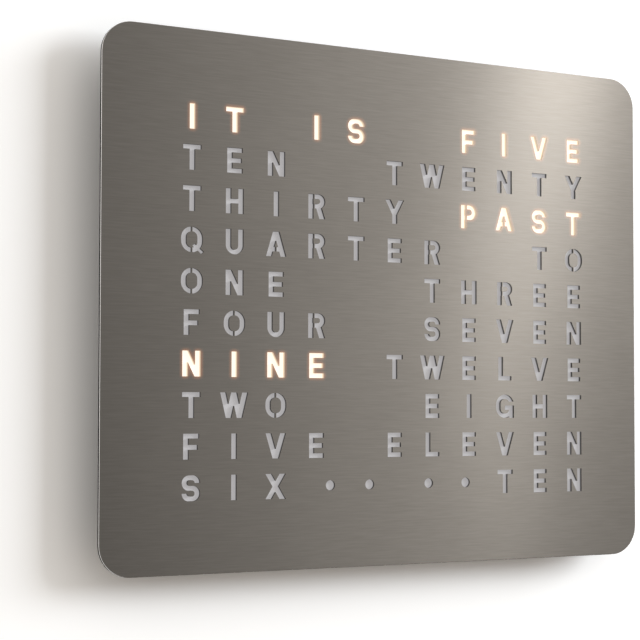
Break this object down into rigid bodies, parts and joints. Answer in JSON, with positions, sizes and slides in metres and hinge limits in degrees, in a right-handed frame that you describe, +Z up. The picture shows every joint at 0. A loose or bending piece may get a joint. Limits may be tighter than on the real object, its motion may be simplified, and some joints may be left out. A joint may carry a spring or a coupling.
{
  "type": "word clock",
  "caption": "Wall clock with a rounded steel face plate whose cut-out letters light up as time words, floating in front of a hidden black housing on a wall bracket.",
  "frame": {"origin": "on the wall plane, at the middle of the wall bracket's back face, straight behind the middle of the face plate", "axes": "+X to the right as seen from the room, +Y into the wall, +Z up; the front faces -Y"},
  "size_m": [0.5, 0.03, 0.425],
  "materials": {
    "brushed_plate": "horizontally brushed stainless steel, satin",
    "opal_sheet": "opal acrylic sheet, satin; glows warm white behind the lit words",
    "stud_steel": "turned steel",
    "zinc_steel": "zinc-plated sheet steel",
    "rivet_metal": "aluminium",
    "black_sheet": "black powder coat, fine texture",
    "port_plastic": "black moulded plastic, fine grain",
    "screw_steel": "zinc-plated steel",
    "bumper_rubber": "soft black rubber",
    "magnet_nickel": "nickel-plated magnet",
    "seal_foam": "closed-cell foam",
    "grid_plastic": "white matt plastic",
    "panel_board": "white solder mask",
    "led_package": "white package with a yellow phosphor lens",
    "standoff_metal": "turned aluminium",
    "green_board": "green solder mask",
    "module_shield": "tinned shield can",
    "chip_plastic": "black moulding compound",
    "cell_steel": "nickel-plated steel",
    "capacitor_sleeve": "dark blue shrink sleeve",
    "jack_plastic": "black nylon",
    "contact_brass": "bare brass",
    "switch_plastic": "black plastic",
    "header_plastic": "natural nylon",
    "cable_jacket": "grey flat cable",
    "button_plastic": "dark grey satin plastic",
    "plunger_plastic": "red plastic"
  },
  "bodies": {
    "wall_mount": {"wall_bracket": "zinc_steel"},
    "housing": {"hanging_rail": "zinc_steel", "rail_rivets": "rivet_metal", "rear_cover": "black_sheet", "housing_frame": "black_sheet", "port_panel": "port_plastic", "cover_screws": "screw_steel", "wall_bumpers": "bumper_rubber", "magnets": "magnet_nickel", "foam_seal": "seal_foam", "light_grid": "grid_plastic", "led_panel": "panel_board", "leds": "led_package", "panel_standoffs": "standoff_metal", "panel_screws": "screw_steel", "control_board": "green_board", "board_standoffs": "standoff_metal", "board_screws": "screw_steel", "controller_module": "module_shield", "clock_chip": "chip_plastic", "coin_cell_holder": "chip_plastic", "coin_cell": "cell_steel", "capacitor": "capacitor_sleeve", "power_jack": "jack_plastic", "jack_pin": "contact_brass", "key_switches": "switch_plastic", "board_header": "header_plastic", "panel_header": "header_plastic", "led_cable": "cable_jacket"},
    "front": {"face_plate": "brushed_plate", "diffuser": "opal_sheet", "locating_studs": "stud_steel"},
    "hour_key": {"hour_button": "button_plastic", "hour_plunger": "plunger_plastic"},
    "minute_key": {"minute_button": "button_plastic", "minute_plunger": "plunger_plastic"},
    "mode_key": {"mode_button": "button_plastic", "mode_plunger": "plunger_plastic"}
  },
  "joints": [
    {"name": "lift_off", "type": "slide", "parent": "wall_mount", "child": "housing", "axis": [0, 0, 1], "range_m": [0, 0.016]},
    {"name": "front_pull_off", "type": "slide", "parent": "housing", "child": "front", "axis": [0, -1, 0], "range_m": [0, 0.06]},
    {"name": "hour_press", "type": "slide", "parent": "housing", "child": "hour_key", "axis": [0, 0, 1], "range_m": [0, 0.001], "stiffness_N_per_m": 800, "springref_m": -0.001},
    {"name": "minute_press", "type": "slide", "parent": "housing", "child": "minute_key", "axis": [0, 0, 1], "range_m": [0, 0.001], "stiffness_N_per_m": 800, "springref_m": -0.001},
    {"name": "mode_press", "type": "slide", "parent": "housing", "child": "mode_key", "axis": [0, 0, 1], "range_m": [0, 0.001], "stiffness_N_per_m": 800, "springref_m": -0.001}
  ]
}
